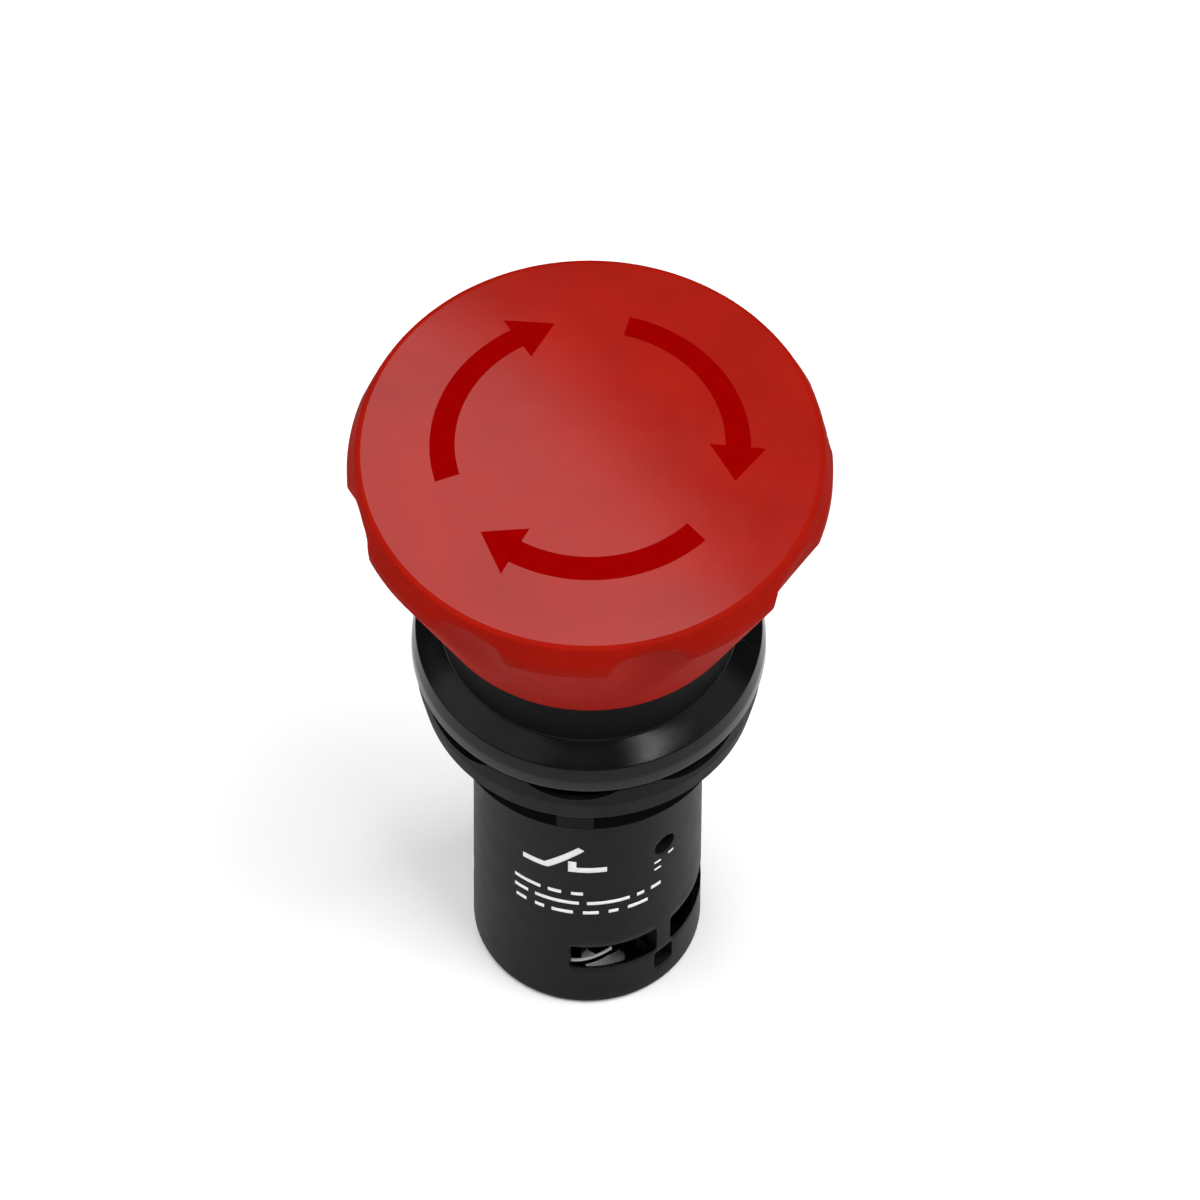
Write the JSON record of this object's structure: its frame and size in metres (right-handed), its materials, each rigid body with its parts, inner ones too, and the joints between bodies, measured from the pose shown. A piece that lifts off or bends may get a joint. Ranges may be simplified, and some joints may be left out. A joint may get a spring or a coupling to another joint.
{
  "type": "emergency stop button",
  "caption": "Compact twist-release mushroom emergency stop with bezel, locking nut and slim body that holds its own normally closed contacts and screw terminals.",
  "frame": {"origin": "centre of the flat rear face of the body", "axes": "+Z along the button's axis towards the head, -Y is the front of the body as it is usually seen"},
  "size_m": [0.04, 0.04, 0.0715],
  "materials": {
    "red_plastic": "satin moulded",
    "black_plastic": "fine moulded",
    "grey_plastic": "moulded",
    "ivory_plastic": "moulded",
    "rubber": "matte",
    "zinc_steel": "zinc plated",
    "spring_steel": "drawn wire",
    "brass": "stamped",
    "silver": "contact silver"
  },
  "bodies": {
    "body": {"barrel": "black_plastic", "stem_seal": "rubber", "twist_spring": "spring_steel", "panel_gasket": "rubber", "rear_housing": "black_plastic", "rear_cover": "black_plastic", "latch_spring": "spring_steel", "guide_plate": "grey_plastic", "return_spring": "spring_steel", "fixed_tip_1": "silver", "terminal_strip_1": "brass", "terminal_clamp_1": "zinc_steel", "terminal_screw_1": "zinc_steel", "fixed_tip_2": "silver", "terminal_strip_2": "brass", "terminal_clamp_2": "zinc_steel", "terminal_screw_2": "zinc_steel", "fixed_tip_3": "silver", "terminal_strip_3": "brass", "terminal_clamp_3": "zinc_steel", "terminal_screw_3": "zinc_steel", "fixed_tip_4": "silver", "terminal_strip_4": "brass", "terminal_clamp_4": "zinc_steel", "terminal_screw_4": "zinc_steel"},
    "plunger": {"contact_carrier": "ivory_plastic", "contact_bridge_1": "brass", "contact_bridge_2": "brass", "contact_spring_1": "spring_steel", "contact_spring_2": "spring_steel", "moving_tip_1": "silver", "moving_tip_2": "silver", "moving_tip_3": "silver", "moving_tip_4": "silver"},
    "head": {"mushroom_head": "red_plastic", "actuator_stem": "grey_plastic", "head_screw": "zinc_steel"},
    "washer": {"clamp_washer": "zinc_steel"},
    "nut": {"lock_nut": "black_plastic"}
  },
  "joints": [
    {"name": "head_press", "type": "slide", "parent": "body", "child": "plunger", "axis": [0, 0, 1], "range_m": [-0.0045, 0], "stiffness_N_per_m": 1500, "springref_m": 0.006, "deforming": ["return_spring", "latch_spring"]},
    {"name": "head_twist", "type": "hinge", "parent": "plunger", "child": "head", "pos_m": [0, 0, 0.06], "axis": [0, 0, 1], "range_deg": [-45, 0], "stiffness_Nm_per_rad": 0.06, "springref_deg": 28.65, "deforming": ["twist_spring"]},
    {"name": "nut_travel", "type": "slide", "parent": "body", "child": "washer", "axis": [0, 0, 1], "range_m": [-0.006, 0]},
    {"name": "nut_spin", "type": "hinge", "parent": "washer", "child": "nut", "pos_m": [0, 0, 0.035], "axis": [0, 0, 1], "range_deg": [-1080, 0]}
  ],
  "couplings": [
    {"joint": "nut_travel", "follows": "nut_spin", "m_per_rad": 0.00031831}
  ]
}
